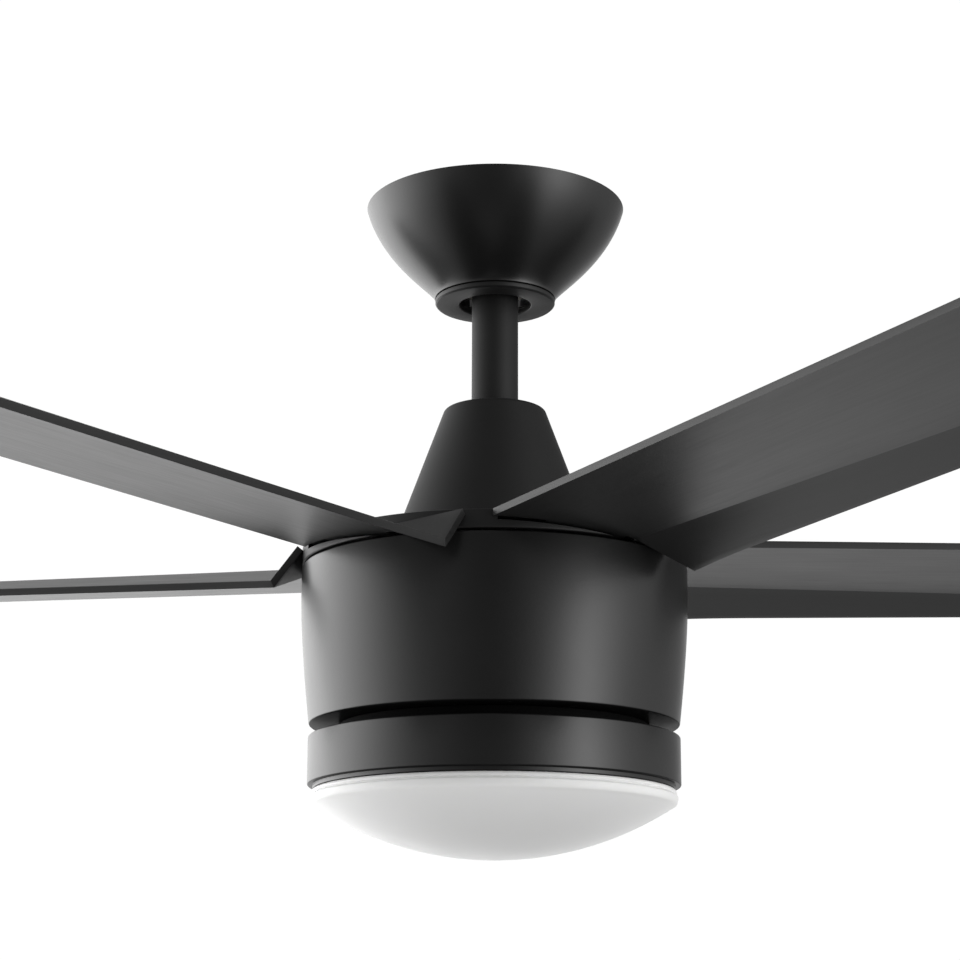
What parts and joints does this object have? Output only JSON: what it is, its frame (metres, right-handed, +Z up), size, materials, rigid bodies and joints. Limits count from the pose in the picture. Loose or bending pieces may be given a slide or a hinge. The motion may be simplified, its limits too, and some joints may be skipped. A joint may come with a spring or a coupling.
{
  "type": "ceiling fan with light",
  "caption": "Downrod ceiling fan: domed canopy, conical coupling cover, drum motor housing, folded blades on a spinning hub and an opal bowl light below.",
  "frame": {"origin": "centre of the ceiling bracket's top face, in the ceiling plane, on the fan's vertical axis", "axes": "+Z up into the ceiling, the rotor turns about Z, the downrod swings about X, and the receiver lies on the -Y side"},
  "size_m": [1.2709, 1.2385, 0.3669],
  "materials": {
    "black_paint": "matte black powder coat",
    "black_blade": "matte black moulded",
    "opal_glass": "satin opal",
    "zinc_plate": "zinc plated",
    "steel": "machined steel",
    "dark_plastic": "moulded black",
    "copper_winding": "lacquered copper",
    "ferrite": "ground ferrite",
    "aluminium": "die cast",
    "board_white": "solder mask",
    "nylon": "natural nylon"
  },
  "bodies": {
    "ceiling_mount": {"mounting_bracket": "zinc_plate", "ceiling_screw_1": "steel", "ceiling_screw_2": "steel", "canopy": "black_paint", "canopy_screw_1": "steel", "canopy_screw_2": "steel", "canopy_ring": "black_paint", "remote_receiver": "dark_plastic"},
    "hanging": {"hanger_ball": "nylon", "ball_pin": "steel", "ball_set_screw": "steel", "downrod": "black_paint", "motor_lead": "dark_plastic", "lead_plug": "nylon", "yoke": "zinc_plate", "yoke_pin": "steel", "yoke_pin_clip": "steel", "yoke_set_screw_1": "steel", "yoke_set_screw_2": "steel", "coupling_cover": "black_paint", "motor_shaft": "steel", "stator_core": "steel", "stator_windings": "copper_winding", "motor_housing": "black_paint", "housing_neck": "black_paint", "housing_screw_1": "steel", "housing_screw_2": "steel", "housing_screw_3": "steel", "shaft_nut": "zinc_plate", "light_ring": "black_paint", "led_driver": "nylon", "heat_spreader": "aluminium", "led_board": "board_white"},
    "rotor": {"blade_hub": "black_paint", "rotor_case_top": "aluminium", "rotor_case_bottom": "aluminium", "magnet_ring": "ferrite", "upper_bearing": "steel", "lower_bearing": "steel", "blade_1": "black_blade", "blade_2": "black_blade", "blade_3": "black_blade", "blade_4": "black_blade", "blade_5": "black_blade", "blade_screw_1_1": "steel", "blade_screw_1_2": "steel", "blade_screw_2_1": "steel", "blade_screw_2_2": "steel", "blade_screw_3_1": "steel", "blade_screw_3_2": "steel", "blade_screw_4_1": "steel", "blade_screw_4_2": "steel", "blade_screw_5_1": "steel", "blade_screw_5_2": "steel"},
    "light_cover": {"diffuser_bowl": "opal_glass"}
  },
  "joints": [
    {"name": "hang_swing", "type": "hinge", "parent": "ceiling_mount", "child": "hanging", "pos_m": [0, 0, -0.033], "axis": [1, 0, 0], "range_deg": [-12, 12]},
    {"name": "fan_spin", "type": "hinge", "parent": "hanging", "child": "rotor", "pos_m": [0, 0, -0.24], "axis": [0, 0, 1], "continuous": true},
    {"name": "cover_twist", "type": "hinge", "parent": "hanging", "child": "light_cover", "pos_m": [0, 0, -0.327], "axis": [0, 0, 1], "range_deg": [0, 20]}
  ]
}
